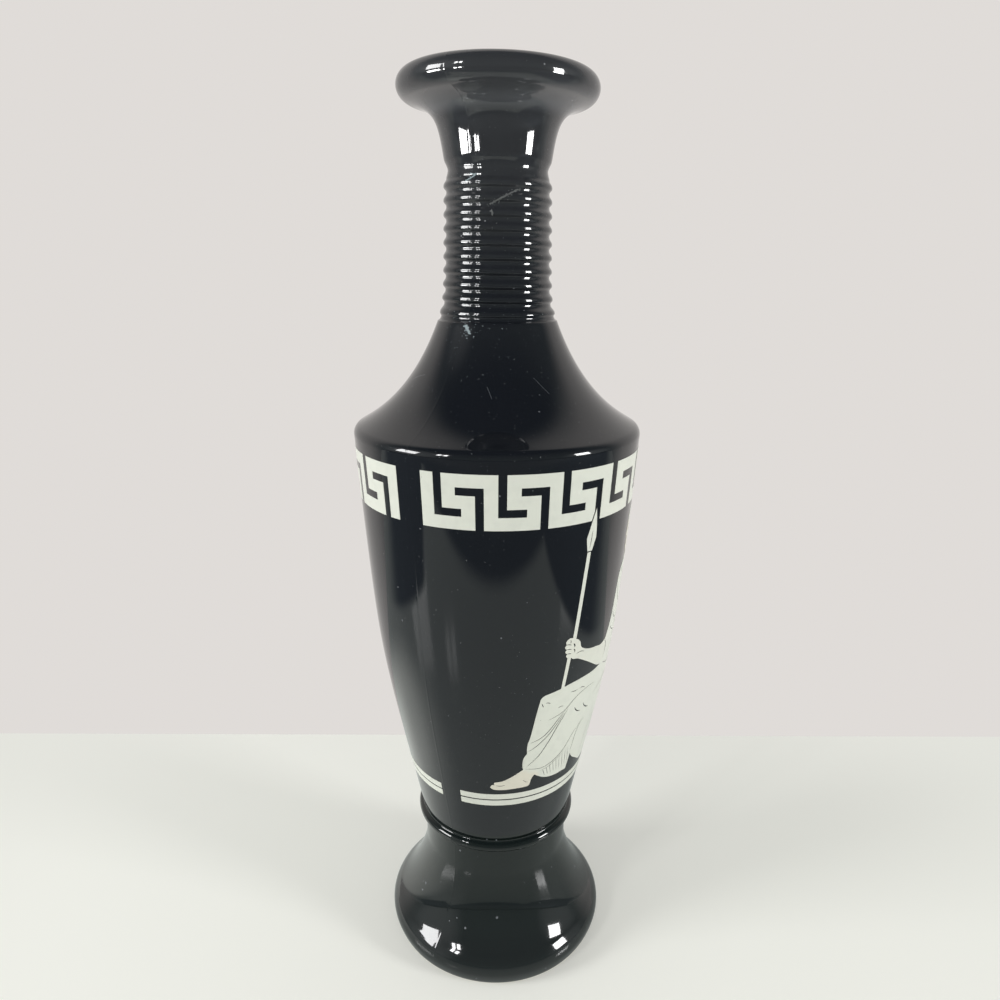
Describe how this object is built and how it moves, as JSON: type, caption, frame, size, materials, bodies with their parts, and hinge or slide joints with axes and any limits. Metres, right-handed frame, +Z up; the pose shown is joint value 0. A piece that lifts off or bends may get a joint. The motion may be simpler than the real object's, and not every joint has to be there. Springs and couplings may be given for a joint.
{
  "type": "decanter",
  "caption": "Tall black glazed ceramic decanter in the shape of a Greek oil jar, with a flared mouth, ribbed neck, bell foot, printed key band and seated figure, and a cork with a turned head.",
  "frame": {"origin": "centre of the resting face, under the foot ring, on the axis of the decanter", "axes": "+Z up along the axis of the decanter, -Y towards the side with the seated figure's knees and the front seam, +X to the right of that side"},
  "size_m": [0.1022, 0.1022, 0.325],
  "materials": {
    "black_glaze": "glossy black glaze",
    "white_enamel": "fired print, half gloss",
    "cork": "natural cork"
  },
  "bodies": {
    "decanter": {"foot": "black_glaze", "body": "black_glaze", "neck": "black_glaze", "key_band_front": "white_enamel", "key_band_back": "white_enamel", "upper_stripe_front": "white_enamel", "upper_stripe_back": "white_enamel", "lower_stripe_front": "white_enamel", "lower_stripe_back": "white_enamel", "figure_front": "white_enamel", "figure_back": "white_enamel"},
    "stopper": {"stopper_cork": "cork", "stopper_head": "black_glaze"}
  },
  "joints": [
    {"name": "stopper_lift", "type": "slide", "parent": "decanter", "child": "stopper", "axis": [0, 0, 1], "range_m": [0, 0.06]}
  ]
}
